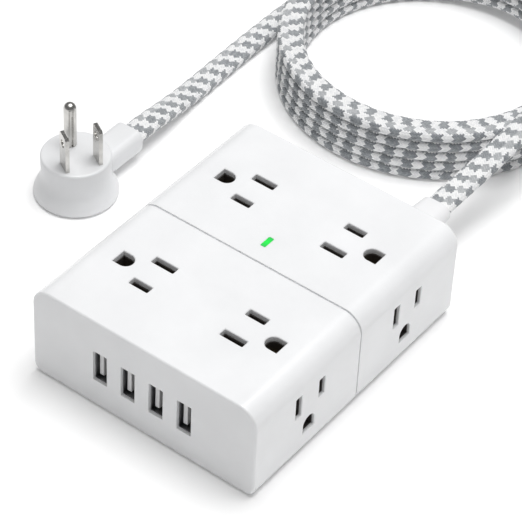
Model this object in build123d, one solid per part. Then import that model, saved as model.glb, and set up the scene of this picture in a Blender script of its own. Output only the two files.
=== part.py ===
from build123d import *
import math
import os

# A surge protector block with eight outlets and four USB ports, its flat woven cord and
# its flat plug. Millimetres. The origin is at the bottom centre of the block, +X to the
# right as the USB face is looked at, +Y towards the cord, +Z up.

# Block
WIDTH, DEPTH, HEIGHT = 94.0, 114.0, 39.0
FOOT_PROUD = 0.6
WALL = 2.2
TOP_R, BOTTOM_R, EDGE_R = 7.6, 3.5, 0.9
SEAM_GAP, SEAM_DEPTH = 0.75, 1.0
BASE_W, BASE_D, BASE_GAP = 84.0, 104.0, 0.15
FRONT, BACK = -DEPTH / 2, DEPTH / 2

# Outlets, NEMA 5-15R. Each is drawn in its own frame: x from the blades to the ground
# pin, y across the blades with the neutral at -y, z out of the face.
OUTLET_Y = 27.5
TOP_OUTLET_X = 19.5
SIDE_OUTLET_Z = 24.2
BLADE_PITCH, GROUND_OFFSET = 12.7, 11.9
SLOT_T, LONG_SLOT, SHORT_SLOT = 3.2, 9.4, 8.0
GROUND_HOLE_R, GROUND_FLAT_X = 3.1, 14.97
SLOT_STEP, MOUTH = 0.3, 0.25
SIDE_FACE_T = 1.2
CARRIER_X, CARRIER_Y, CARRIER_BOTTOM = (-6.8, 17.0), (-11.0, 11.0), -6.3
CLIP_TOP, CLIP_BOTTOM = -6.5, -18.6
LEAF_T, LEAF_GAP, LEAF_W = 0.6, 1.4, 8.0
SLEEVE_R, SLEEVE_BORE_R, SLEEVE_BOTTOM = 3.2, 2.4, -19.0
STRIP_T = 0.8
LINE_X, NEUTRAL_X, GROUND_X = 24.6, 14.4, 35.0
STRIP_END = 37.0

# USB ports, type A, standing on their short side
USB_PITCH, USB_Z = 11.85, 18.6
USB_WINDOW = (5.95, 13.3)
USB_SHELL = (6.2, 13.6, 13.5)
USB_SINK = 0.9
USB_FRONT = FRONT + WALL - USB_SINK
USB_WALL = 0.35
USB_TONGUE = (-2.1, -0.3)
RISER_Y = -41.0

# Boards and what stands on them
BOARD_Z, BOARD_T, BOARD_W = 5.0, 1.6, 25.0
SURGE_BOARD_Y = (8.0, 43.5)
USB_BOARD_Y = (-38.0, -8.0)
LENS_Y, LENS_W, LENS_L = 9.8, 1.9, 5.2

# Resettable breaker in the back face
BREAKER_X, BREAKER_Z = -22.0, 19.5
BUTTON_R, BUTTON_CLEAR = 3.6, 0.2
BEZEL_R, BEZEL_T = 7.4, 1.2

# Cord, flat, and where it leaves the block
CORD_W, CORD_T = 10.0, 4.5
GRIP = CORD_T / 2 + 0.1
GLAND_X, GLAND_Z = 23.2, 19.4
BOOT_END = 80.0
WIRE_R = 1.1
COIL_X, COIL_Y, COIL_R, COIL_LAYERS = -32.5, 159.0, 55.0, 5
LEAD_X = -98.5
OUTER_R = COIL_X - LEAD_X

# Plug, NEMA 5-15P, lying with its pins up
PLUG_X, PLUG_Y, PLUG_H = -95.4, 22.0, 17.9
PLUG_YAW = -30.0
PLUG_R, PLUG_FLARE_R = 13.1, 15.8
ARM_X, ARM_Z, ARM_END, ARM_W, ARM_H = -94.1, 8.0, 51.5, 12.4, 9.6
BLADE_W, BLADE_T, BLADE_L = 6.35, 1.5, 15.9
PIN_R, PIN_L, TAIL_R, TAIL_PROUD = 2.38, 19.1, 1.9, 0.2


def box(x, y, z):
    """A block between two values on each axis."""
    size = [high - low for low, high in (x, y, z)]
    middle = [(high + low) / 2 for low, high in (x, y, z)]
    return Pos(*middle) * Box(*size)


def slab(sketch, y_low, y_high):
    """A sketch drawn in X and Z, made solid between two values of Y."""
    return extrude(Plane.XZ.offset(-y_high) * sketch, amount=y_high - y_low)


def rod(radius, start, end):
    """A cylinder between two points that differ along one axis."""
    start, end = Vector(*start), Vector(*end)
    plane = Plane(start, z_dir=(end - start).normalized())
    return extrude(plane * Circle(radius), amount=(end - start).length)


def cut_holes(solid, holes):
    for hole in holes:
        solid -= hole
    return solid


def section(inset):
    """The block's outline in X and Z, moved in by inset."""
    outline = Rectangle(WIDTH - 2 * inset, HEIGHT - FOOT_PROUD - 2 * inset)
    outline = fillet(outline.vertices().group_by(Axis.Y)[-1], TOP_R - inset)
    outline = fillet(outline.vertices().group_by(Axis.Y)[0], BOTTOM_R - inset)
    return Pos(0, (HEIGHT + FOOT_PROUD) / 2) * outline


def tube(route, sketch):
    """A sketch swept along straight runs joined by arcs as large as the runs allow."""
    points = [Vector(*p) for p in route]
    radii = []
    for a, b, c in zip(points, points[1:], points[2:]):
        turn = math.radians((b - a).get_angle(c - b))
        radii.append(0.45 * min((b - a).length, (c - b).length) / math.tan(turn / 2))
    path = FilletPolyline(*points, radius=radii)
    along = points[1] - points[0]
    start = Plane(points[0], x_dir=Vector(0, 0, 1).cross(along), z_dir=along)
    return sweep(start * sketch, path=path), path, radii


# Outlets


def outlet_planes():
    """The eight outlets' own frames, on the block's outer faces."""
    planes = []
    for side in (1, -1):
        for y in (-OUTLET_Y, OUTLET_Y):
            planes.append(Plane((side * TOP_OUTLET_X, y, HEIGHT), x_dir=(side, 0, 0)))
            origin = (side * WIDTH / 2, y, SIDE_OUTLET_Z)
            planes.append(Plane(origin, x_dir=(0, 0, -1), z_dir=(side, 0, 0)))
    return planes


def outlet_openings(inset):
    """The three holes of one outlet as a sketch, each made smaller all round by inset."""
    ground = Circle(GROUND_HOLE_R - inset)
    flat = GROUND_FLAT_X - inset - (GROUND_FLAT_X - GROUND_HOLE_R - 0.2)
    ground += Pos(flat / 2, 0) * Rectangle(flat, 2 * (GROUND_HOLE_R - inset))
    holes = Pos(GROUND_FLAT_X - GROUND_HOLE_R - 0.2, 0) * ground
    for y, long in ((-BLADE_PITCH / 2, LONG_SLOT), (BLADE_PITCH / 2, SHORT_SLOT)):
        slot = Rectangle(long - 2 * inset, SLOT_T - 2 * inset)
        holes += Pos(0, y) * fillet(slot.vertices(), 0.4)
    return holes


def outlet_cutters(inset, z_low, z_high):
    """Cutters through all eight outlets between two heights in their own frames."""
    sketch = outlet_openings(inset)
    holes = extrude(Pos(0, 0, z_low) * sketch, amount=z_high - z_low)
    return [plane.location * holes for plane in outlet_planes()]


def outlet_mouths():
    """The small bevel round each hole's edge."""
    mouths = extrude(outlet_openings(-MOUTH), amount=-MOUTH, taper=45)
    return [plane.location * mouths for plane in outlet_planes()]


def face_thickness(plane):
    """The wall over an outlet, thinner in the sides, where the plate sits in a recess."""
    return SIDE_FACE_T if abs(plane.z_dir.X) > 0.5 else WALL


def carrier_seats():
    """The recesses inside the side walls that the insulating plates sit in."""
    x = (CARRIER_X[0] - 0.1, CARRIER_X[1] + 0.1)
    y = (CARRIER_Y[0] - 0.1, CARRIER_Y[1] + 0.1)
    sides = [plane for plane in outlet_planes() if face_thickness(plane) < WALL]
    return [plane.location * box(x, y, (-WALL - 0.5, -SIDE_FACE_T)) for plane in sides]


def contact_carrier(plane):
    """The insulating plate behind one outlet, drawn in the outlet's frame."""
    plate = box(CARRIER_X, CARRIER_Y, (CARRIER_BOTTOM, -face_thickness(plane) - 0.1))
    openings = outlet_openings(SLOT_STEP)
    plate -= extrude(Pos(0, 0, CARRIER_BOTTOM - 1) * openings, amount=-CARRIER_BOTTOM + 2)
    return plane.location * plate


def blade_clip(plane, y):
    """Two leaves that grip one blade, joined at the bottom, in an outlet's frame."""
    clip = Part()
    for side in (1, -1):
        middle = y + side * (LEAF_GAP + LEAF_T) / 2
        leaf = box(
            (-LEAF_W / 2, LEAF_W / 2),
            (middle - LEAF_T / 2, middle + LEAF_T / 2),
            (CLIP_BOTTOM, CLIP_TOP),
        )
        clip += leaf
    reach = LEAF_GAP / 2 + LEAF_T
    clip += box(
        (-LEAF_W / 2, LEAF_W / 2), (y - reach, y + reach), (CLIP_BOTTOM, CLIP_BOTTOM + 0.6)
    )
    return plane.location * clip


def right_outlets():
    """The frames of the outlets on the +X half, those in the top first."""
    planes = [p for p in outlet_planes() if p.origin.X > 0]
    return [p for p in planes if p.z_dir.Z > 0.5], [p for p in planes if p.z_dir.X > 0.5]


def both_halves(half, link):
    """A busbar: its +X half, the same turned round for the -X half, and a cross link."""
    return half + Rot(0, 0, 180) * half + link


def busbar(sign, strip_x, strip_z, link_y):
    """A strip along Y with a clip for each outlet: line where sign is 1, neutral at -1."""
    top, side = right_outlets()
    x = (strip_x - STRIP_T / 2, strip_x + STRIP_T / 2)
    half = box(x, (-STRIP_END, STRIP_END), strip_z)
    reach = LEAF_GAP / 2 + LEAF_T
    for plane in top:
        y = plane.origin.Y + sign * BLADE_PITCH / 2
        half += blade_clip(plane, sign * BLADE_PITCH / 2)
        edge = TOP_OUTLET_X + sign * (LEAF_W / 2 - 0.3)
        tab_z = (strip_z[0], strip_z[0] + 3.0) if sign > 0 else (20.4, strip_z[1])
        half += box(sorted((edge, strip_x)), (y - reach, y + reach), tab_z)
    inner = WIDTH / 2 + CLIP_BOTTOM
    for plane in side:
        y = plane.origin.Y + sign * BLADE_PITCH / 2
        half += blade_clip(plane, sign * BLADE_PITCH / 2)
        if sign > 0:
            half += box((strip_x, inner + 0.3), (y - reach, y + reach), (24.0, 27.0))
        else:
            arm = (y - STRIP_T / 2, y + STRIP_T / 2)
            half += box((strip_x, inner + 1.6), arm, (16.4, 19.6))
            half += box((inner, inner + 1.6), (y - reach, y + reach), (16.4, 20.6))
    link_z = (strip_z[0], strip_z[0] + 3.5)
    link = box((-strip_x, strip_x), (link_y - STRIP_T / 2, link_y + STRIP_T / 2), link_z)
    return both_halves(half, link)


def ground_sleeve(plane):
    """A split sleeve that grips one ground pin."""
    sleeve = Cylinder(SLEEVE_R, CLIP_TOP - SLEEVE_BOTTOM)
    sleeve -= Cylinder(SLEEVE_BORE_R, CLIP_TOP - SLEEVE_BOTTOM)
    sleeve -= Pos(-SLEEVE_R, 0, 0) * Box(2 * SLEEVE_R, 1.0, CLIP_TOP - SLEEVE_BOTTOM)
    sleeve = Pos(GROUND_OFFSET, 0, (CLIP_TOP + SLEEVE_BOTTOM) / 2) * sleeve
    return plane.location * sleeve


def ground_busbar():
    """The ground strips, a sleeve for each outlet and the link across the block."""
    top, side = right_outlets()
    x = (GROUND_X - STRIP_T / 2, GROUND_X + STRIP_T / 2)
    half = box(x, (-31.0, 31.0), (15.0, 18.5))
    for plane in top:
        y = plane.origin.Y
        half += ground_sleeve(plane)
        half += box((GROUND_X - 1.1, x[1]), (y - 1.5, y + 1.5), (15.0, 24.0))
    for plane in side:
        half += ground_sleeve(plane)
    link_y = (-STRIP_T / 2, STRIP_T / 2)
    half += box(x, link_y, (10.0, 16.0))
    return both_halves(half, box((-x[1], x[1]), link_y, (10.0, 13.5)))


# Housing

SCREWS = [(x, y) for x in (-38.5, 38.5) for y in (-46.5, -6.0, 6.0, 46.5)]
BOSS_R, BOSS_BOTTOM, PILOT_R, SCREW_R, HEAD_R = 2.9, 4.3, 1.35, 1.3, 2.6
CUP_R, CUP_TOP = 4.0, 4.2
KEYHOLES = [(-30.0, 0.0), (30.0, 0.0)]
KEY_HEAD_R, KEY_SLOT_R, KEY_SLOT_L = 4.25, 2.2, 8.0
FEET = [(x, y) for x in (-36.0, 36.0) for y in (-38.0, 38.0)]
FOOT_R, FOOT_SINK = 5.0, 1.0
BASE_TOP = FOOT_PROUD + WALL


def usb_places():
    return [USB_PITCH * (i - 1.5) for i in range(4)]


def housing(back):
    """One half of the housing: a deep cup, open below and at the seam."""
    low, high = (0.0, BACK) if back else (FRONT, 0.0)
    solid = slab(section(0), FRONT, BACK)
    for end in (0, -1):
        solid = fillet(solid.faces().sort_by(Axis.Y)[end].edges(), EDGE_R)
    solid -= slab(section(0) - section(SEAM_DEPTH), -SEAM_GAP / 2, SEAM_GAP / 2)
    solid -= slab(section(WALL), FRONT + WALL, BACK - WALL)
    solid -= box((-BASE_W / 2, BASE_W / 2), (-BASE_D / 2, BASE_D / 2), (-1, HEIGHT / 2))
    solid &= box((-WIDTH, WIDTH), (low, high), (-1, HEIGHT + 1))
    for x, y in SCREWS:
        if low < y < high:
            boss = rod(BOSS_R, (x, y, BOSS_BOTTOM), (x, y, HEIGHT - WALL + 0.3))
            boss += rib(x, y)
            solid += boss
            solid -= rod(PILOT_R, (x, y, BOSS_BOTTOM), (x, y, BOSS_BOTTOM + 11.0))
    solid = cut_holes(solid, outlet_cutters(0, -WALL - 1, 1) + outlet_mouths())
    solid = cut_holes(solid, carrier_seats())
    return cut_holes(solid, back_cutters() if back else usb_windows())


def rib(x, y):
    """The web that ties a screw boss to the side wall."""
    side = math.copysign(1, x)
    span = sorted((x, side * (WIDTH / 2 - WALL + 0.3)))
    return box(span, (y - 0.8, y + 0.8), (BOSS_BOTTOM, HEIGHT - TOP_R))


def usb_windows():
    """Openings in the front wall for the four ports, each with a pocket for its shell."""
    windows = []
    for x in usb_places():
        window = Pos(x, USB_Z) * Rectangle(*USB_WINDOW)
        window = fillet(window.vertices(), 0.35)
        windows.append(slab(window, FRONT - 1, FRONT + WALL + 1))
        pocket = Pos(x, USB_Z) * Rectangle(USB_SHELL[0] + 0.2, USB_SHELL[1] + 0.2)
        windows.append(slab(pocket, USB_FRONT, FRONT + WALL + 1))
    return windows


def gland_outline(width, height):
    """An oblong with full round ends in X and Z round the cord's exit."""
    oblong = Rectangle(width, height)
    return Pos(GLAND_X, GLAND_Z) * fillet(oblong.vertices(), height / 2 - 0.05)


def back_cutters():
    """What is cut from the back half: cord exit, breaker, its bezel, and the lens."""
    centre = (BREAKER_X, BREAKER_Z)
    neck = rod(5.5, (centre[0], BACK - WALL - 1, centre[1]), (centre[0], BACK, centre[1]))
    bezel = rod(
        BEZEL_R + 0.1, (centre[0], BACK - BEZEL_T - 0.1, centre[1]), (centre[0], 60, centre[1])
    )
    gland = slab(gland_outline(15.2, 10.2), BACK - WALL - 1, BACK + 1)
    return [neck, bezel, gland, lens_shape(0.1, HEIGHT - WALL - 1, HEIGHT + 1)]


def lens_shape(grow, z_low, z_high):
    lens = Rectangle(LENS_W + 2 * grow, LENS_L + 2 * grow)
    lens = fillet(lens.vertices(), 0.4 + grow)
    return extrude(Pos(0, LENS_Y, z_low) * lens, amount=z_high - z_low)


def base_cover():
    """The plate that closes the block from below, with screw cups, feet pockets,
    keyholes, board posts and the pads that hold the busbars up."""
    half_w, half_d = BASE_W / 2 - BASE_GAP, BASE_D / 2 - BASE_GAP
    plate = box((-half_w, half_w), (-half_d, half_d), (FOOT_PROUD, BASE_TOP))
    for x, y in SCREWS:
        cup = rod(CUP_R, (x, y, FOOT_PROUD), (x, y, CUP_TOP))
        cup &= box((-half_w, half_w), (-half_d, half_d), (0, 10))
        plate += cup
        plate -= rod(HEAD_R + 0.3, (x, y, 0), (x, y, CUP_TOP - 1.6))
        plate -= rod(SCREW_R + 0.3, (x, y, 0), (x, y, CUP_TOP + 1))
    for x, y in FEET:
        plate -= rod(FOOT_R + 0.1, (x, y, 0), (x, y, FOOT_PROUD + FOOT_SINK))
    for x, y in KEYHOLES:
        head = rod(KEY_HEAD_R, (x, y, 0), (x, y, 9))
        slot = box((x - KEY_SLOT_R, x + KEY_SLOT_R), (y, y + KEY_SLOT_L), (0, 9))
        end = rod(KEY_SLOT_R, (x, y + KEY_SLOT_L, 0), (x, y + KEY_SLOT_L, 9))
        plate -= head + slot + end
    for x, y in board_posts():
        plate += rod(2.2, (x, y, BASE_TOP - 0.3), (x, y, BOARD_Z))
        plate -= rod(1.05, (x, y, BASE_TOP), (x, y, BOARD_Z + 1))
    for y in (-14.0, 14.0):
        for side in (1, -1):
            for x, top in ((LINE_X, 24.0), (NEUTRAL_X, 16.0), (GROUND_X, 15.0)):
                pad = (side * x - 1.0, side * x + 1.0)
                plate += box(pad, (y - 2.0, y + 2.0), (BASE_TOP - 0.3, top - 0.05))
    return plate


def housing_screws():
    """Pan-head screws, up through the base into the bosses."""
    screws = []
    for x, y in SCREWS:
        under_head = CUP_TOP - 1.6
        screw = rod(SCREW_R, (x, y, under_head - 0.1), (x, y, 14.0))
        screw += rod(HEAD_R, (x, y, under_head - 1.7), (x, y, under_head))
        for angle in (0, 90):
            screw -= Pos(x, y, under_head - 1.7) * Rot(0, 0, angle) * Box(3.2, 0.7, 1.6)
        screws.append(screw)
    return screws


def rubber_feet():
    feet = []
    for x, y in FEET:
        foot = rod(FOOT_R, (x, y, 0), (x, y, FOOT_PROUD + FOOT_SINK))
        feet.append(fillet(foot.edges().sort_by(Axis.Z)[0], 0.4))
    return feet


# Boards


def board_posts():
    half = BOARD_W / 2 - 2.6
    rows = [USB_BOARD_Y[0] + 2.8, USB_BOARD_Y[1] - 2.8, SURGE_BOARD_Y[0] + 2.8]
    rows.append(SURGE_BOARD_Y[1] - 2.8)
    return [(x, y) for x in (-half, half) for y in rows]


def board(span):
    """A circuit board lying over the base, with its screw holes."""
    plate = box((-BOARD_W / 2, BOARD_W / 2), span, (BOARD_Z, BOARD_Z + BOARD_T))
    for x, y in board_posts():
        plate -= rod(1.25, (x, y, BOARD_Z - 1), (x, y, BOARD_Z + BOARD_T + 1))
    return plate


def board_screws():
    top = BOARD_Z + BOARD_T
    return [
        rod(1.0, (x, y, BASE_TOP + 0.3), (x, y, top)) + rod(2.0, (x, y, top), (x, y, top + 1.3))
        for x, y in board_posts()
    ]


def varistors():
    """Three disc varistors in a row, standing on their leads."""
    discs = []
    for y in (14.5, 20.0, 25.5):
        z = BOARD_Z + BOARD_T + 9.2
        disc = rod(6.6, (-1.8, y - 1.9, z), (-1.8, y + 1.9, z))
        disc = fillet(disc.edges(), 1.0)
        for x in (-5.5, 1.9):
            disc += rod(0.4, (x, y, BOARD_Z + BOARD_T), (x, y, z - 3.0))
        discs.append(disc)
    return discs


def thermal_fuse():
    """A cylinder fuse lying beside the varistors on its two leads."""
    x, z, low, high = 8.6, BOARD_Z + BOARD_T + 3.4, 15.0, 25.0
    fuse = rod(2.0, (x, low, z), (x, high, z))
    for y in (low - 0.6, high + 0.6):
        fuse += rod(0.4, (x, y, BOARD_Z + BOARD_T), (x, y, z + 0.4))
        fuse += rod(0.4, (x, (low if y < low else high), z), (x, y, z))
    return fuse


def filter_capacitor():
    low = BOARD_Z + BOARD_T
    can = box((-8.5, 8.5), (31.0, 38.0), (low + 0.6, low + 13.0))
    can = fillet(can.edges().filter_by(Axis.Z), 0.8)
    for x in (-6.5, 6.5):
        can += rod(0.4, (x, 34.5, low), (x, 34.5, low + 1))
    return can


def indicator_lens():
    """The light guide: its face is flush with the top, over a flange inside the wall."""
    under = HEIGHT - WALL - 0.05
    guide = lens_shape(0, under - 4.5, HEIGHT)
    return guide + lens_shape(1.0, under - 1.0, under)


def indicator_led():
    top = HEIGHT - WALL - 5.4
    led = rod(1.5, (0, LENS_Y, top - 4.2), (0, LENS_Y, top - 1.5))
    led += Pos(0, LENS_Y, top - 1.5) * Sphere(1.5)
    led += rod(1.9, (0, LENS_Y, top - 5.0), (0, LENS_Y, top - 4.2))
    for x in (-1.27, 1.27):
        led += box((x - 0.25, x + 0.25), (LENS_Y - 0.25, LENS_Y + 0.25), (BOARD_Z + BOARD_T, top - 4.6))
    return led


def transformer_parts():
    """The USB supply's transformer: a ferrite frame and the winding inside it."""
    low, y = BOARD_Z + BOARD_T + 1.0, (-35.0, -19.0)
    core = box((-8.0, 8.0), (y[0] + 4.0, y[1] - 4.0), (low, low + 15.0))
    core -= box((-6.0, 6.0), (-60, 60), (low + 2.2, low + 12.8))
    core += box((-2.0, 2.0), (y[0] + 4.0, y[1] - 4.0), (low + 1.0, low + 14.0))
    winding = box((-5.8, 5.8), (y[0] + 1.5, y[1] - 1.5), (low + 2.4, low + 12.6))
    winding = fillet(winding.edges().filter_by(Axis.Z), 2.0)
    winding -= box((-2.1, 2.1), (y[0] + 3.9, y[1] - 3.9), (low, low + 15.0))
    return core, winding


def usb_capacitors():
    low = BOARD_Z + BOARD_T
    cans = []
    for x in (-6.5, 0.0, 6.5):
        can = rod(2.8, (x, -15.6, low), (x, -15.6, low + 11.0))
        cans.append(fillet(can.edges().sort_by(Axis.Z)[-1], 0.5))
    return cans


def usb_riser():
    """The upright board behind the ports, standing in front of the lying one."""
    return box((-27.0, 27.0), (RISER_Y, RISER_Y + BOARD_T), (BOARD_Z - 1.5, 33.0))


def usb_controller():
    """The charging controller, a flat chip with gull-wing leads, on the riser's back."""
    y = RISER_Y + BOARD_T
    chip = box((-2.6, 2.6), (y + 0.15, y + 1.6), (24.5, 29.5))
    for z in [25.1 + 1.27 * i for i in range(4)]:
        chip += box((-3.9, 3.9), (y, y + 0.3), (z - 0.2, z + 0.2))
    return chip


def usb_shell(x):
    """A port's steel shell, open in front, with its rim folded out."""
    w, h, length = USB_SHELL
    front = USB_FRONT + 0.05
    outer = Pos(x, USB_Z) * fillet(Rectangle(w, h).vertices(), 0.5)
    inner = Pos(x, USB_Z) * Rectangle(w - 2 * USB_WALL, h - 2 * USB_WALL)
    shell = slab(outer, front, front + length) - slab(inner, front - 1, front + length - 0.4)
    for z in (USB_Z - 3.0, USB_Z + 3.0):
        shell += box((x - 0.6, x + 0.6), (front + length - 0.2, RISER_Y), (z - 0.4, z + 0.4))
    return shell


def usb_tongue(x):
    """The plastic tongue that carries a port's contacts, off centre as the plug needs."""
    w, h, length = USB_SHELL
    front, back = USB_FRONT + 1.1, USB_FRONT + length - 0.45
    sides = (x + USB_TONGUE[0], x + USB_TONGUE[1])
    tongue = box(sides, (front, back), (USB_Z - 5.4, USB_Z + 5.4))
    tongue = fillet(tongue.faces().sort_by(Axis.Y)[0].edges(), 0.3)
    inside = w / 2 - USB_WALL - 0.05
    foot = h / 2 - USB_WALL - 0.05
    return tongue + box(
        (x - inside, x + inside), (back - 2.5, back), (USB_Z - foot, USB_Z + foot)
    )


def usb_contacts(x):
    """Four gold strips on the tongue's face."""
    front, back = USB_FRONT + 3.2, USB_FRONT + USB_SHELL[2] - 3.0
    sides = (x + USB_TONGUE[1] + 0.01, x + USB_TONGUE[1] + 0.25)
    return [
        box(sides, (front, back), (USB_Z + z - 0.5, USB_Z + z + 0.5))
        for z in (-3.5, -1.0, 1.0, 3.5)
    ]


# Breaker


def breaker_body():
    """The breaker's case against the back wall and its neck through it."""
    x, z = BREAKER_X, BREAKER_Z
    case = box((x - 8, x + 8), (39.5, BACK - WALL - 0.05), (z - 9, z + 9))
    case = fillet(case.edges().filter_by(Axis.Y), 1.2)
    case += rod(5.3, (x, 50, z), (x, BACK - BEZEL_T - 0.2, z))
    case -= rod(5.2, (x, 43.0, z), (x, 54.2, z))
    case -= rod(BUTTON_R + BUTTON_CLEAR, (x, 50, z), (x, 60, z))
    for dx in (-4.0, 4.0):
        case += box((x + dx - 0.4, x + dx + 0.4), (36.0, 39.6), (z + 2.5, z + 7.5))
    return case


def reset_button():
    """The button: a head through the neck, a collar that stops it and a stem."""
    x, z = BREAKER_X, BREAKER_Z
    button = rod(BUTTON_R, (x, 50.0, z), (x, BACK - 0.1, z))
    button = fillet(button.edges().sort_by(Axis.Y)[-1], 0.5)
    button += rod(4.9, (x, 50.0, z), (x, 51.2, z))
    return button + rod(2.4, (x, 44.2, z), (x, 50.5, z))


def reset_spring():
    """A coil spring between the case's floor and the button's collar."""
    x, z, wire, turns, low, high = BREAKER_X, BREAKER_Z, 0.35, 4, 43.4, 49.6
    helix = Helix(pitch=(high - low) / turns, height=high - low, radius=3.6)
    start = Plane(helix @ 0, z_dir=helix % 0)
    coil = sweep(start * Circle(wire), path=helix, is_frenet=True)
    return Pos(x, low, z) * Rot(-90, 0, 0) * coil


def reset_bezel():
    x, z = BREAKER_X, BREAKER_Z
    ring = rod(BEZEL_R, (x, BACK - BEZEL_T, z), (x, BACK, z))
    ring = chamfer(ring.edges().sort_by(Axis.Y)[-1], 0.5)
    ring -= rod(4.0, (x, 50, z), (x, 60, z))
    for angle in range(0, 180, 45):
        cut = Rot(0, angle, 0) * Box(2 * BEZEL_R + 1, 0.8, 0.9)
        hub = rod(5.6, (0, -1, 0), (0, 1, 0))
        ring -= Pos(x, BACK, z) * (cut - hub)
    return ring


# Cord


def cord_section():
    return fillet(Rectangle(CORD_W, CORD_T).vertices(), CORD_T / 2 - 0.05)


def strain_relief():
    """The flexible boot: a flange inside the wall, a groove in it and a tapered sleeve."""
    inside = slab(gland_outline(18.0, 13.0), BACK - WALL - 2.6, BACK - WALL - 0.1)
    neck = slab(gland_outline(15.0, 10.0), BACK - WALL - 0.2, BACK + 0.2)
    low = Plane.XZ.offset(-BACK - 0.1) * gland_outline(15.6, 10.6)
    high = Plane.XZ.offset(-BOOT_END) * gland_outline(12.2, 7.2)
    boot = inside + neck + loft([low, high])
    cord_way = Pos(GLAND_X, GLAND_Z) * cord_section()
    return boot - slab(cord_way, BACK - 10, BOOT_END + 1)


def clamp_posts():
    return [(GLAND_X + side * 8.6, 47.0) for side in (-1, 1)]


def cord_clamp():
    """The bar that grips the cord inside the block."""
    bar = box((GLAND_X - 11.0, GLAND_X + 11.0), (44.0, 50.0), (GLAND_Z + GRIP, GLAND_Z + GRIP + 3.0))
    bar = fillet(bar.edges().filter_by(Axis.Z), 1.5)
    for x, y in clamp_posts():
        bar -= rod(1.3, (x, y, 0), (x, y, HEIGHT))
    return bar


def clamp_screws():
    top = GLAND_Z + GRIP + 3.0
    return [
        rod(1.2, (x, y, 12.0), (x, y, top)) + rod(2.3, (x, y, top), (x, y, top + 1.6))
        for x, y in clamp_posts()
    ]


def clamp_saddle():
    """The saddle under the cord, standing on the base."""
    saddle = box((GLAND_X - 11.0, GLAND_X + 11.0), (44.0, 50.0), (BASE_TOP, GLAND_Z - GRIP))
    for x, y in clamp_posts():
        saddle += rod(2.3, (x, y, GLAND_Z - GRIP - 0.1), (x, y, GLAND_Z + GRIP - 0.05))
        saddle -= rod(1.25, (x, y, 8.0), (x, y, GLAND_Z + 4))
    return saddle


def cord_tail():
    """The cord's last stretch inside the block, from the clamp to the boot's end."""
    way = Pos(GLAND_X, GLAND_Z) * cord_section()
    return slab(way, 43.0, BOOT_END - 2.0)


LINE_ROUTE = [
    (20.2, 42.7, 19.4),
    (20.2, 40.2, 19.4),
    (18.6, 38.4, 22.4),
    (7.0, 40.0, 24.5),
    (-7.0, 39.4, 24.5),
    (-13.0, 37.5, 24.5),
    (-17.5, 37.6, 24.5),
]
NEUTRAL_ROUTE = [
    (23.2, 42.7, 19.4),
    (23.2, 41.0, 19.2),
    (21.5, 38.7, 16.9),
    (17.8, 38.4, 16.9),
    (14.8, 38.3, 17.6),
]
GROUND_ROUTE = [(26.2, 42.7, 19.4), (26.2, 39.0, 19.4), (31.0, 36.0, 17.2), (34.8, 32.3, 16.8)]

BOX_LEAD = [
    (23.2, 78.0, 19.4),
    (23.2, 94.0, 19.4),
    (24.4, 109.0, 21.2),
    (25.6, 128.0, 24.75),
    (25.3, 143.5, 25.05),
    (24.4, 159.0, 24.87),
]
PLUG_LEAD = [
    (-94.1, 49.5, 8.0),
    (-94.1, 61.0, 8.0),
    (-95.2, 74.0, 5.4),
    (-96.9, 90.0, 2.65),
    (-97.7, 107.0, 2.27),
    (-98.2, 125.0, 2.33),
    (-98.4, 142.0, 2.27),
    (-98.5, 159.0, 2.27),
]


def cord_coil():
    """The coil's outer shape: the stacked turns and the one half turn laid round them."""
    layers = COIL_LAYERS * CORD_T
    half = CORD_W / 2
    stack = Cylinder(COIL_R + half, layers) - Cylinder(COIL_R - half, layers)
    outer = Cylinder(OUTER_R + half, CORD_T) - Cylinder(COIL_R, CORD_T)
    outer &= Pos(0, OUTER_R, 0) * Box(4 * OUTER_R, 2 * OUTER_R, CORD_T)
    coil = Pos(0, 0, layers / 2) * stack + Pos(0, 0, CORD_T / 2) * outer
    return Pos(COIL_X, COIL_Y, 0) * coil


# Plug


def plug_frame():
    """The plug's own frame: x from the ground pin to the blades, z along the pins."""
    return Pos(PLUG_X, PLUG_Y, 0) * Rot(0, 0, PLUG_YAW)


def plug_body():
    """The moulded plug: a round neck flared to its base and an arm round the cord."""
    lip, foot = 0.9, 1.6
    with BuildLine() as line:
        a = Polyline((0, 0), (PLUG_FLARE_R - foot, 0))
        b = RadiusArc(a @ 1, (PLUG_FLARE_R, foot), -foot)
        c = Spline(b @ 1, (PLUG_R + 0.35, 7.0), (PLUG_R, PLUG_H - lip), tangents=((-0.25, 1), (0, 1)))
        d = RadiusArc(c @ 1, (PLUG_R - lip, PLUG_H), -lip)
        Polyline(d @ 1, (0, PLUG_H), (0, 0))
    profile = make_face(Plane.XZ * line.line)
    round_part = Pos(PLUG_X, PLUG_Y, 0) * revolve(profile, Axis.Z)
    outline = Pos(ARM_X, ARM_Z) * fillet(Rectangle(ARM_W, ARM_H).vertices(), 3.0)
    arm = slab(outline, PLUG_Y, ARM_END)
    arm = fillet(arm.faces().sort_by(Axis.Y)[-1].edges(), 0.8)
    body = round_part + arm
    way = Pos(ARM_X, ARM_Z) * cord_section()
    body -= slab(way, ARM_END - 2.0, ARM_END + 1)
    holes = [pin_space(solid) for solid in (line_blade(), neutral_blade(), ground_pin())]
    return cut_holes(body, holes)


def pin_space(pin):
    """The part of a pin that is held in the moulding."""
    return pin & box((-200, 0), (-50, 100), (-10, PLUG_H + 1))


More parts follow.
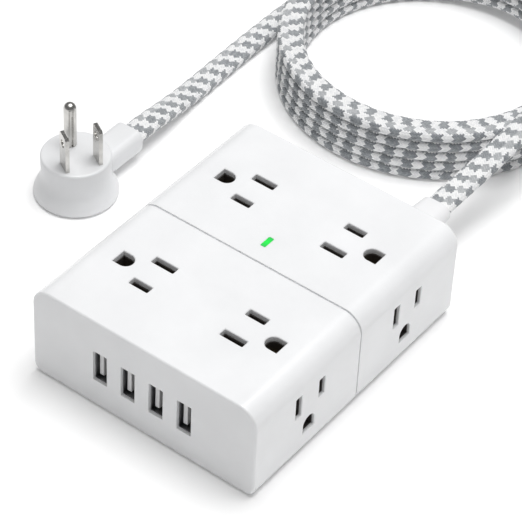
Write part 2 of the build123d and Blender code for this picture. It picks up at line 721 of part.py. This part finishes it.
def plug_blade(y):
    """A flat blade with chamfered tip corners and a hole near its tip."""
    top = PLUG_H + BLADE_L
    blade = box(
        (-BLADE_W / 2, BLADE_W / 2), (y - BLADE_T / 2, y + BLADE_T / 2), (PLUG_H - 8.0, top)
    )
    blade = chamfer(blade.faces().sort_by(Axis.Z)[-1].edges().filter_by(Axis.Y), 1.2)
    blade = chamfer(blade.faces().sort_by(Axis.Z)[-1].edges().filter_by(Axis.X), 0.35)
    blade -= rod(1.6, (0, y - 2, top - 4.4), (0, y + 2, top - 4.4))
    return plug_frame() * Pos(GROUND_OFFSET / 2, 0, 0) * blade


def line_blade():
    return plug_blade(BLADE_PITCH / 2)


def neutral_blade():
    return plug_blade(-BLADE_PITCH / 2)


def ground_pin():
    """The round-ended pin, rolled from strip, with its seam facing the blades and a
    narrower tail that is held in the moulding."""
    x, top, foot = -GROUND_OFFSET / 2, PLUG_H + PIN_L, PLUG_H + TAIL_PROUD
    pin = rod(TAIL_R, (x, 0, PLUG_H - 8.0), (x, 0, foot))
    pin += rod(PIN_R, (x, 0, foot), (x, 0, top - PIN_R))
    pin += Pos(x, 0, top - PIN_R) * Sphere(PIN_R)
    seam = box((x + PIN_R - 0.9, x + PIN_R + 1), (-0.35, 0.35), (PLUG_H, top - 4.6))
    return plug_frame() * (pin - seam)


# Writing


def nodes():
    core, winding = transformer_parts()
    box_lead, box_path, box_radii = tube(BOX_LEAD, cord_section())
    plug_lead, plug_path, plug_radii = tube(PLUG_LEAD, cord_section())
    for name, lead, path, radii in (
        ("box lead", box_lead, box_path, box_radii),
        ("plug lead", plug_lead, plug_path, plug_radii),
    ):
        ratio = lead.volume / (cord_section().area * path.length)
        print(name, "radii", [round(r) for r in radii], "length", round(path.length, 1))
        print(name, "volume over section times length", round(ratio, 4))
    made = {
        "front_housing": housing(False),
        "rear_housing": housing(True),
        "base_cover": base_cover(),
        "housing_screws": housing_screws(),
        "rubber_feet": rubber_feet(),
        "line_busbar": busbar(1, LINE_X, (24.0, 30.0), 3.0),
        "neutral_busbar": busbar(-1, NEUTRAL_X, (16.0, 22.0), -3.0),
        "ground_busbar": ground_busbar(),
        "surge_board": board(SURGE_BOARD_Y),
        "varistors": varistors(),
        "thermal_fuse": thermal_fuse(),
        "filter_capacitor": filter_capacitor(),
        "indicator_lens": indicator_lens(),
        "indicator_led": indicator_led(),
        "usb_board": board(USB_BOARD_Y),
        "board_screws": board_screws(),
        "usb_riser": usb_riser(),
        "usb_controller": usb_controller(),
        "transformer_core": core,
        "transformer_winding": winding,
        "usb_capacitors": usb_capacitors(),
        "breaker_body": breaker_body(),
        "reset_button": reset_button(),
        "reset_spring": reset_spring(),
        "reset_bezel": reset_bezel(),
        "strain_relief": strain_relief(),
        "cord_clamp": cord_clamp(),
        "clamp_saddle": clamp_saddle(),
        "clamp_screws": clamp_screws(),
        "cord_tail": cord_tail(),
        "line_wire": tube(LINE_ROUTE, Circle(WIRE_R))[0],
        "neutral_wire": tube(NEUTRAL_ROUTE, Circle(WIRE_R))[0],
        "ground_wire": tube(GROUND_ROUTE, Circle(WIRE_R))[0],
        "cord_lead": box_lead,
        "cord_coil": cord_coil(),
        "cord_plug_lead": plug_lead,
        "plug_body": plug_body(),
        "plug_line_blade": line_blade(),
        "plug_neutral_blade": neutral_blade(),
        "plug_ground_pin": ground_pin(),
    }
    for number, plane in enumerate(outlet_planes(), 1):
        made[f"contact_carrier_{number}"] = contact_carrier(plane)
    for number, x in enumerate(usb_places(), 1):
        made[f"usb_shell_{number}"] = usb_shell(x)
        made[f"usb_tongue_{number}"] = usb_tongue(x)
        made[f"usb_contacts_{number}"] = usb_contacts(x)
    return made


def main():
    os.makedirs("parts", exist_ok=True)
    for name, shape in nodes().items():
        solids = shape if isinstance(shape, list) else [shape]
        solids = [solid for part in solids for solid in part.solids()]
        export_step(Compound(children=solids, label=name), f"parts/{name}.step")


main()
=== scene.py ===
import math

import bmesh
import bpy
from mathutils import Matrix, Vector


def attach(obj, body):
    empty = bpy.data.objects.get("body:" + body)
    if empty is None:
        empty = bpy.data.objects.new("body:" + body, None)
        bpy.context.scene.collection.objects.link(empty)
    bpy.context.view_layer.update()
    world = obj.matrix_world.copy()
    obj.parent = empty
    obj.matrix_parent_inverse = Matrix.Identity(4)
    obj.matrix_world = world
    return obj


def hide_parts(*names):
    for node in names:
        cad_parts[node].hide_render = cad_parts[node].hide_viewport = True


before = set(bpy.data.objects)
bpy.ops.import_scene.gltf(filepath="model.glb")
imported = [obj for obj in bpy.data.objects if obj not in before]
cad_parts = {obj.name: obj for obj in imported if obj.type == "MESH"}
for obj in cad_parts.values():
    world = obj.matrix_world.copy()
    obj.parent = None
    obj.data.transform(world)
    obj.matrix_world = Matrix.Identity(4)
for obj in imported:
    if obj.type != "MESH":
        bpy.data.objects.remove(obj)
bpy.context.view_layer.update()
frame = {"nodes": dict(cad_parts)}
NODES = frame["nodes"]

# Cord, flat, lying on its wide side. The two routes are the ones its solids follow.
CORD_W, CORD_T, CORD_CORNER = 0.0100, 0.0045, 0.0022
BOX_LEAD = [
    (0.0232, 0.0780, 0.0194),
    (0.0232, 0.0940, 0.0194),
    (0.0244, 0.1090, 0.0212),
    (0.0256, 0.1280, 0.02475),
    (0.0253, 0.1435, 0.02505),
    (0.0244, 0.1590, 0.02487),
]
PLUG_LEAD = [
    (-0.0941, 0.0495, 0.0080),
    (-0.0941, 0.0610, 0.0080),
    (-0.0952, 0.0740, 0.0054),
    (-0.0969, 0.0900, 0.00265),
    (-0.0977, 0.1070, 0.00227),
    (-0.0982, 0.1250, 0.00233),
    (-0.0984, 0.1420, 0.00227),
    (-0.0985, 0.1590, 0.00227),
]
COIL_X, COIL_Y = -0.0325, 0.1590
COIL_R, OUTER_R, LAYERS, PER_TURN = 0.0550, 0.0660, 5, 16
SETTLE = (0, 60)
STEP_DOWN = (75, 140)
STEP_OUT = (-25, 75)
RING_GAP, RING_POINTS = 0.0010, 32

# The braid: its yarns cross in cells, CELLS_ROUND of them round the cord and CELLS_LONG in
# each repeat of the grey bands.
BRAID_PERIOD, CELLS_LONG, CELLS_ROUND = 0.00719, 7, 24
# The grey patches lie in rows along the cord. On the top each row lies about 0.3 of a repeat
# ahead of the one before, so the patches join into slanted bands. Below, the rows alternate.
# A row is (the share of the way round where it starts, how far ahead it lies, the share of
# its repeat that is grey, how strong the grey is). The inner edge of the cord is at 0, the
# middle of its top at 0.25 and its outer edge at 0.5.
ROWS = [
    (0.0, 0.20, 0.46, 0.9),
    (0.11, 0.48, 0.48, 0.92),
    (0.28, 0.77, 0.46, 0.7),
    (0.40, 0.05, 0.53, 1.0),
    (0.565, 0.55, 0.48, 0.8),
    (0.685, 0.0, 0.48, 0.75),
    (0.835, 0.50, 0.46, 0.9),
]
RAGGED = 0.14

# The middle of the green light along Y, and half its length
LENS_Y, LENS_HALF = 0.0098, 0.0026

WHITE = (0.86, 0.865, 0.875)

# Camera and light
CAMERA_AT, CAMERA_AIM = (0.3724, -0.5180, 0.6285), (-0.00775, 0.01768, 0.020)
CAMERA_LENS, CAMERA_SENSOR, CAMERA_ROLL = 178.318, 36.0, 2.997
KEY_AT, KEY_AIM, KEY_SIZE, KEY_POWER = (0.08, 0.25, 1.6), (0, 0.05, 0.02), 1.2, 27.5
SKY_STRENGTH = 0.21
FLOOR_SIZE, FLOOR_Z, FLOOR_COLOUR, FLOOR_GLOW = 4.0, -0.0002, (0.95, 0.95, 0.95, 1), 0.09


def eased(value, span):
    """0 before the span, 1 after it, with a smooth climb between."""
    x = min(max((value - span[0]) / (span[1] - span[0]), 0.0), 1.0)
    return x * x * (3 - 2 * x)


def coil_point(degrees):
    """A control point of the coil: the cord comes in on top, steps down one layer in each
    turn, and at the bottom moves out to lie on the floor round the stack."""
    turn, angle = divmod(degrees, 360)
    layer = min(turn + eased(angle, STEP_DOWN), LAYERS)
    last = degrees - 360 * LAYERS
    radius = COIL_R + (OUTER_R - COIL_R) * eased(last, STEP_OUT)
    radius += (BOX_LEAD[-1][0] - COIL_X - COIL_R) * (1 - eased(degrees, SETTLE))
    # A quadratic spline runs inside its control points by this much.
    radius /= math.cos(math.pi / PER_TURN) ** eased(degrees, SETTLE)
    z = CORD_T * (LAYERS - layer) + CORD_T / 2
    a = math.radians(degrees)
    return (COIL_X + radius * math.cos(a), COIL_Y + radius * math.sin(a), z)


def cord_route():
    """The cord's control points from inside the boot to inside the plug."""
    step = 360 / PER_TURN
    steps = int((LAYERS + 0.5) * PER_TURN)
    coil = [coil_point(step * i) for i in range(1, steps)]
    return BOX_LEAD + coil + PLUG_LEAD[::-1]


def spline_points(points, resolution=24):
    """Points read from the smooth NURBS curve with these control points."""
    data = bpy.data.curves.new("cord_line", "CURVE")
    data.dimensions = "3D"
    spline = data.splines.new("NURBS")
    spline.points.add(len(points) - 1)
    for slot, co in zip(spline.points, points):
        slot.co = (*co, 1.0)
    spline.order_u = 3
    spline.use_endpoint_u = True
    spline.resolution_u = resolution
    holder = bpy.data.objects.new("cord_line", data)
    mesh = bpy.data.meshes.new_from_object(holder)
    line = [v.co.copy() for v in mesh.vertices]
    bpy.data.objects.remove(holder)
    bpy.data.meshes.remove(mesh)
    return line


def even_points(line, gap):
    """The same line with its points an even distance apart."""
    lengths = [0.0]
    for a, b in zip(line, line[1:]):
        lengths.append(lengths[-1] + (b - a).length)
    count = round(lengths[-1] / gap)
    points, i = [], 0
    for n in range(count + 1):
        want = lengths[-1] * n / count
        while i < len(lengths) - 2 and lengths[i + 1] < want:
            i += 1
        share = (want - lengths[i]) / max(lengths[i + 1] - lengths[i], 1e-9)
        points.append(line[i].lerp(line[i + 1], share))
    return points, lengths[-1]


def flat_section():
    """The cord's outline, starting at its inner edge and going over the top, as
    (across, up)."""
    half, r = CORD_W / 2 - CORD_CORNER, CORD_CORNER
    flat, arc = 2 * half, math.pi * r
    around = 2 * (flat + arc)
    outline = []
    for i in range(RING_POINTS):
        s = around * i / RING_POINTS
        if s < arc / 2:
            a = math.pi - s / r
            outline.append((-half + r * math.cos(a), r * math.sin(a)))
        elif s < arc / 2 + flat:
            outline.append((-half + s - arc / 2, r))
        elif s < 1.5 * arc + flat:
            a = math.pi / 2 - (s - arc / 2 - flat) / r
            outline.append((half + r * math.cos(a), r * math.sin(a)))
        elif s < 1.5 * arc + 2 * flat:
            outline.append((half - (s - 1.5 * arc - flat), -r))
        else:
            a = -math.pi / 2 - (s - 1.5 * arc - 2 * flat) / r
            outline.append((-half + r * math.cos(a), r * math.sin(a)))
    return outline


def swell(i, n):
    """The slight swelling of the braid where its yarns cross."""
    return 1 + 0.012 * math.sin(math.tau * (3 * i / RING_POINTS + n * RING_GAP / BRAID_PERIOD))


def braided_cord():
    """The whole visible cord as one tube along its route, with the braid's UV map."""
    centres, length = even_points(spline_points(cord_route()), RING_GAP)
    outline = flat_section()
    mesh = bmesh.new()
    uv = mesh.loops.layers.uv.new("braid")
    rings = []
    for n, centre in enumerate(centres):
        along = centres[min(n + 1, len(centres) - 1)] - centres[max(n - 1, 0)]
        side = along.cross(Vector((0, 0, 1))).normalized()
        up = side.cross(along).normalized()
        ring = [
            mesh.verts.new(centre + (side * x + up * z) * swell(i, n))
            for i, (x, z) in enumerate(outline)
        ]
        rings.append(ring)
    for n, (a, b) in enumerate(zip(rings, rings[1:])):
        for i in range(RING_POINTS):
            j = (i + 1) % RING_POINTS
            face = mesh.faces.new((a[i], b[i], b[j], a[j]))
            face.smooth = True
            corners = ((i, n), (i, n + 1), (i + 1, n + 1), (i + 1, n))
            for loop, (u, v) in zip(face.loops, corners):
                loop[uv].uv = (u / RING_POINTS, v * RING_GAP / BRAID_PERIOD)
    mesh.faces.new(rings[0])
    mesh.faces.new(rings[-1][::-1])
    bmesh.ops.recalc_face_normals(mesh, faces=mesh.faces)
    data = bpy.data.meshes.new("braided_cord")
    mesh.to_mesh(data)
    mesh.free()
    piece = bpy.data.objects.new("braided_cord", data)
    bpy.context.scene.collection.objects.link(piece)
    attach(piece, "housing")
    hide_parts("cord_lead", "cord_coil", "cord_plug_lead")
    print("cord length", round(length, 4))
    return piece


# Materials


class Shader:
    """A new material's node tree, with short calls for the nodes that are used here."""

    def __init__(self, name, roughness=0.5, **sockets):
        self.material = bpy.data.materials.new(name)
        self.material.use_nodes = True
        self.tree = self.material.node_tree
        self.principled = self.tree.nodes["Principled BSDF"]
        self.set("Roughness", roughness)
        for socket, value in sockets.items():
            self.set(socket.replace("_", " ").title(), value)

    def set(self, socket, value):
        target = self.principled.inputs[socket]
        if isinstance(value, bpy.types.NodeSocket):
            self.tree.links.new(value, target)
        else:
            target.default_value = value

    def node(self, kind, inputs=(), **settings):
        made = self.tree.nodes.new("ShaderNode" + kind)
        for name, value in settings.items():
            setattr(made, name, value)
        for name, value in dict(inputs).items():
            if isinstance(value, bpy.types.NodeSocket):
                self.tree.links.new(value, made.inputs[name])
            else:
                made.inputs[name].default_value = value
        return made

    def math(self, operation, *values):
        return self.node("Math", enumerate(values), operation=operation).outputs[0]

    def place(self):
        return self.node("TexCoord").outputs["Object"]

    def noise(self, scale, detail=3.0, where=None):
        where = where or self.place()
        made = self.node("TexNoise", {"Vector": where, "Scale": scale, "Detail": detail})
        return made.outputs["Fac"]

    def ramp(self, factor, stops, interpolation="LINEAR"):
        made = self.node("ValToRGB", {"Fac": factor})
        ramp = made.color_ramp
        ramp.interpolation = interpolation
        while len(ramp.elements) < len(stops):
            ramp.elements.new(0.5)
        for element, (position, colour) in zip(ramp.elements, stops):
            if not isinstance(colour, tuple):
                colour = (colour,) * 3
            element.position, element.color = position, (*colour, 1)
        return made.outputs["Color"]

    def bump(self, height, distance, strength=1.0):
        inputs = {"Height": height, "Distance": distance, "Strength": strength}
        self.set("Normal", self.node("Bump", inputs).outputs["Normal"])


def shade(colour, factor):
    """The colour made darker or lighter."""
    return tuple(min(c * factor, 1.0) for c in colour)


def moulded(name, colour, roughness, grain=900.0, depth=0.00002, vary=0.03, **sockets):
    """Moulded plastic: a faint mottle of colour and gloss over a fine spark-eroded grain."""
    shader = Shader(name, **sockets)
    mottle = shader.noise(45.0)
    stops = [(0.3, shade(colour, 1 - vary)), (0.7, shade(colour, 1 + vary))]
    shader.set("Base Color", shader.ramp(mottle, stops))
    fine = shader.noise(grain, 2.0)
    gloss = [(0.3, roughness * 0.88), (0.7, roughness * 1.12)]
    shader.set("Roughness", shader.ramp(fine, gloss))
    shader.bump(fine, depth)
    return shader.material


def metal(name, colour, roughness, stretch=(1, 1, 14), grain=700.0, **sockets):
    """Metal with drawing or rolling marks that run along one axis."""
    shader = Shader(name, metallic=1.0, **sockets)
    mapping = shader.node("Mapping", {"Vector": shader.place(), "Scale": stretch})
    marks = shader.noise(grain, 4.0, mapping.outputs["Vector"])
    tarnish = shader.noise(160.0)
    stops = [(0.35, shade(colour, 0.86)), (0.65, shade(colour, 1.05))]
    shader.set("Base Color", shader.ramp(tarnish, stops))
    shader.set("Roughness", shader.ramp(marks, [(0.3, roughness * 0.7), (0.7, roughness * 1.4)]))
    shader.bump(marks, 0.00001, 0.5)
    return shader.material


def circuit_board():
    """Green solder mask over copper tracks, which show as lighter lines."""
    shader = Shader("circuit_board", 0.35)
    split = shader.node("SeparateXYZ", {"Vector": shader.place()})
    tracks = []
    for axis, pitch in (("X", 0.0025), ("Y", 0.0031)):
        cell = shader.math("FRACT", shader.math("DIVIDE", split.outputs[axis], pitch))
        tracks.append(shader.math("LESS_THAN", cell, 0.3))
    chosen = shader.math("GREATER_THAN", shader.noise(90.0), 0.52)
    line = shader.math("MULTIPLY", shader.math("MAXIMUM", *tracks), chosen)
    stops = [(0.0, (0.012, 0.10, 0.035)), (1.0, (0.03, 0.20, 0.07))]
    shader.set("Base Color", shader.ramp(line, stops))
    shader.bump(line, 0.00004)
    return shader.material


def wound_tape():
    """Yellow tape, darker where each lap starts."""
    shader = Shader("winding_tape", 0.3)
    split = shader.node("SeparateXYZ", {"Vector": shader.place()})
    lap = shader.math("FRACT", shader.math("DIVIDE", split.outputs["Z"], 0.0021))
    stops = [(0.0, (0.30, 0.18, 0.01)), (0.12, (0.75, 0.55, 0.05)), (1.0, (0.85, 0.66, 0.08))]
    shader.set("Base Color", shader.ramp(lap, stops))
    shader.bump(lap, 0.00006)
    return shader.material


def lit_lens():
    """The green light guide: brighter along its middle, where the lamp stands below."""
    shader = Shader("green_lens", 0.35)
    split = shader.node("SeparateXYZ", {"Vector": shader.place()})
    offset = shader.math("ABSOLUTE", shader.math("SUBTRACT", split.outputs["Y"], LENS_Y))
    glow = [(0.0, (0.008, 0.62, 0.05)), (1.0, (0.02, 0.40, 0.07))]
    colour = shader.ramp(shader.math("DIVIDE", offset, LENS_HALF), glow)
    shader.set("Base Color", colour)
    shader.set("Emission Color", colour)
    shader.set("Emission Strength", 0.5)
    shader.bump(shader.noise(600.0), 0.00002)
    return shader.material


def braid():
    """A woven cover. Each yarn passes over two others and under two, so what shows is short
    slanted floats. Each float has one colour, picked where its middle is: grey inside the
    rows of patches, and white between them."""
    shader = Shader("cord_braid", 0.6, sheen_weight=0.2, sheen_roughness=0.5)
    do = shader.math
    uv = shader.node("UVMap", uv_map="braid").outputs["UV"]
    split = shader.node("SeparateXYZ", {"Vector": uv})
    x = do("MULTIPLY", split.outputs["X"], CELLS_ROUND)
    y = do("MULTIPLY", split.outputs["Y"], CELLS_LONG)
    rising, falling = do("ADD", y, x), do("SUBTRACT", y, x)
    p, q = do("FLOOR", rising), do("FLOOR", falling)
    # Which of the two yarns is on top here, and the middle of its float.
    step = do("FLOORED_MODULO", do("SUBTRACT", p, q), 4.0)
    first = do("LESS_THAN", step, 2.0)
    second = do("SUBTRACT", 1.0, first)
    p_mid = do("ADD", p, do("MULTIPLY", second, do("SUBTRACT", 2.5, step)))
    q_mid = do("ADD", q, do("MULTIPLY", first, do("SUBTRACT", step, 0.5)))
    round_share = do("FRACT", do("DIVIDE", do("SUBTRACT", p_mid, q_mid), 2.0 * CELLS_ROUND))
    y_mid = do("MULTIPLY", do("ADD", do("ADD", p_mid, q_mid), 1.0), 0.5)
    lead, width, strength = [
        shader.ramp(round_share, [(row[0], row[i]) for row in ROWS], "CONSTANT") for i in (1, 2, 3)
    ]
    along = do("SUBTRACT", do("DIVIDE", y_mid, CELLS_LONG), lead)
    cell = shader.node("CombineXYZ", {"X": p_mid, "Y": q_mid})
    chance = shader.node("TexWhiteNoise", {"Vector": cell.outputs[0]}).outputs["Value"]
    ragged = do("ADD", along, do("MULTIPLY", chance, RAGGED))
    grey = do("LESS_THAN", do("FRACT", ragged), width)
    grey = do("MULTIPLY", grey, strength)
    # The float is a rounded bundle of fibres: high along its middle, low at its ends. Its colour
    # is also painted darker towards its ends, as shade where it dips under the crossing yarns.
    a = do("ABSOLUTE", do("SUBTRACT", do("SUBTRACT", rising, p_mid), 0.5))
    b = do("ABSOLUTE", do("SUBTRACT", do("SUBTRACT", falling, q_mid), 0.5))
    a = do("POWER", do("MULTIPLY", a, do("ADD", first, 1.0)), 2.0)
    b = do("POWER", do("MULTIPLY", b, do("ADD", second, 1.0)), 2.0)
    crown = do("MULTIPLY", do("SUBTRACT", 1.0, a), do("SUBTRACT", 1.0, do("MULTIPLY", b, 0.8)))
    fibres = shader.noise(2400.0, 2.0)
    tone_and_crease_shade = do("ADD", do("MULTIPLY", chance, 0.45), do("MULTIPLY", fibres, 0.3))
    # Painted shade: the crown makes each float lighter along its middle and darker at its ends.
    tone_and_crease_shade = do("ADD", tone_and_crease_shade, do("MULTIPLY", crown, 0.25))
    dark = shader.ramp(tone_and_crease_shade, [(0.1, (0.16, 0.175, 0.19)), (0.9, (0.37, 0.39, 0.41))])
    pale = shader.ramp(tone_and_crease_shade, [(0.1, (0.76, 0.77, 0.79)), (0.6, (0.95, 0.95, 0.95))])
    mix = shader.node("Mix", data_type="RGBA")
    for socket, value in ((0, grey), (6, pale), (7, dark)):
        shader.tree.links.new(value, mix.inputs[socket])
    shader.set("Base Color", mix.outputs[2])
    shader.bump(do("ADD", crown, do("MULTIPLY", fibres, 0.3)), 0.00022)
    return shader.material


def covers(name, node):
    """Is this the node's name, or its start where the name ends in an underscore?"""
    return node == name or (name.endswith("_") and node.startswith(name))


def paint():
    """A material for every piece, by the node names that it covers."""
    pins = metal("nickel_pins", (0.60, 0.59, 0.57), 0.22)
    black = moulded("black_plastic", (0.018, 0.018, 0.019), 0.45)
    brass = metal("brass", (0.55, 0.38, 0.16), 0.3)
    steel = metal("screw_steel", (0.45, 0.45, 0.46), 0.32)
    # The USB shells are a dark nickel so that the ports look dark inside: painted shade.
    shell = metal("nickel_shell", (0.26, 0.26, 0.27), 0.38, stretch=(1, 14, 1))
    grey = moulded("grey_plastic", (0.55, 0.56, 0.57), 0.4)
    can = metal("can_aluminium", (0.60, 0.60, 0.62), 0.3)
    looks = {
        "front_housing rear_housing": moulded(
            "white_plastic",
            WHITE,
            0.24,
            coat_weight=0.15,
            coat_roughness=0.12,
            subsurface_weight=0.35,
            subsurface_radius=(1.0, 1.0, 1.0),
            subsurface_scale=0.0015,
        ),
        "base_cover clamp_saddle cord_clamp": moulded("base_plastic", WHITE, 0.45),
        "plug_body": moulded("plug_plastic", (0.77, 0.775, 0.785), 0.34, grain=700.0),
        "strain_relief": moulded("soft_boot", (0.82, 0.82, 0.83), 0.5, grain=500.0),
        "rubber_feet": moulded("foot_rubber", (0.12, 0.12, 0.125), 0.75, depth=0.00005),
        "housing_screws board_screws clamp_screws reset_spring": steel,
        # The contact carriers are made near black so that the socket slots look dark inside:
        # painted shade.
        "contact_carrier_": moulded("carrier_black_painted_slot_shade", (0.045, 0.040, 0.037), 0.5),
        "breaker_body usb_controller filter_capacitor": black,
        "line_busbar neutral_busbar ground_busbar": brass,
        "surge_board usb_board usb_riser": circuit_board(),
        "varistors": moulded("varistor_blue", (0.02, 0.07, 0.32), 0.25, grain=300.0),
        "thermal_fuse usb_capacitors": can,
        "indicator_lens": lit_lens(),
        "indicator_led": moulded("led_clear", (0.30, 0.75, 0.38), 0.15),
        "transformer_core": moulded("ferrite", (0.035, 0.035, 0.04), 0.6, depth=0.00006),
        "transformer_winding": wound_tape(),
        "reset_button reset_bezel": grey,
        "usb_shell_": shell,
        "usb_tongue_": moulded("tongue_plastic", (0.84, 0.84, 0.84), 0.45),
        "usb_contacts_": metal("gold_contacts", (0.72, 0.50, 0.18), 0.2),
        "cord_lead cord_coil cord_plug_lead cord_tail braided_cord": braid(),
        "line_wire": moulded("wire_black", (0.012, 0.012, 0.012), 0.35),
        "neutral_wire": moulded("wire_white", (0.70, 0.70, 0.69), 0.35),
        "ground_wire": moulded("wire_green", (0.02, 0.16, 0.05), 0.35),
        "plug_line_blade plug_neutral_blade plug_ground_pin": pins,
    }
    pieces = {**NODES, "braided_cord": bpy.data.objects["braided_cord"]}
    for names, material in looks.items():
        for name in names.split():
            for piece in [o for node, o in pieces.items() if covers(name, node)]:
                if not piece.material_slots:
                    piece.data.materials.append(material)
                for slot in piece.material_slots:
                    slot.material = material
                del pieces[piece.name]
    if pieces:
        raise ValueError(f"no material for {sorted(pieces)}")


# Camera, light and floor


def aimed(position, target):
    """A placement at one point, with its -Z axis towards another."""
    position, target = Vector(position), Vector(target)
    aim = (target - position).to_track_quat("-Z", "Y").to_matrix().to_4x4()
    return Matrix.Translation(position) @ aim


def place_camera():
    """The camera looks down on the block from its front right."""
    data = bpy.data.cameras.new("camera")
    data.lens, data.sensor_width = CAMERA_LENS, CAMERA_SENSOR
    data.clip_start = 0.05
    camera = bpy.data.objects.new("camera", data)
    bpy.context.scene.collection.objects.link(camera)
    roll = Matrix.Rotation(math.radians(CAMERA_ROLL), 4, "Z")
    camera.matrix_world = aimed(CAMERA_AT, CAMERA_AIM) @ roll
    bpy.context.scene.camera = camera


def studio():
    """A dim white sky and one large soft light overhead."""
    world = bpy.data.worlds.new("studio")
    world.use_nodes = True
    sky = world.node_tree.nodes["Background"].inputs
    sky["Color"].default_value = (1, 1, 1, 1)
    sky["Strength"].default_value = SKY_STRENGTH
    bpy.context.scene.world = world
    bpy.context.scene.view_settings.view_transform = "Standard"
    data = bpy.data.lights.new("key", "AREA")
    data.shape, data.size, data.energy = "SQUARE", KEY_SIZE, KEY_POWER
    light = bpy.data.objects.new("key", data)
    light.matrix_world = aimed(KEY_AT, KEY_AIM)
    bpy.context.scene.collection.objects.link(light)


def floor():
    """A plain white floor that glows a little, so that it stays pale in the shade."""
    mesh = bmesh.new()
    bmesh.ops.create_grid(mesh, x_segments=1, y_segments=1, size=FLOOR_SIZE)
    data = bpy.data.meshes.new("floor")
    mesh.to_mesh(data)
    mesh.free()
    piece = bpy.data.objects.new("floor", data)
    piece.location.z = FLOOR_Z
    bpy.context.scene.collection.objects.link(piece)
    paper = bpy.data.materials.new("paper")
    paper.use_nodes = True
    sockets = paper.node_tree.nodes["Principled BSDF"].inputs
    sockets["Base Color"].default_value = FLOOR_COLOUR
    sockets["Roughness"].default_value = 0.9
    sockets["Emission Color"].default_value = (1, 1, 1, 1)
    sockets["Emission Strength"].default_value = FLOOR_GLOW
    data.materials.append(paper)


place_camera()
studio()
floor()
braided_cord()
paint()
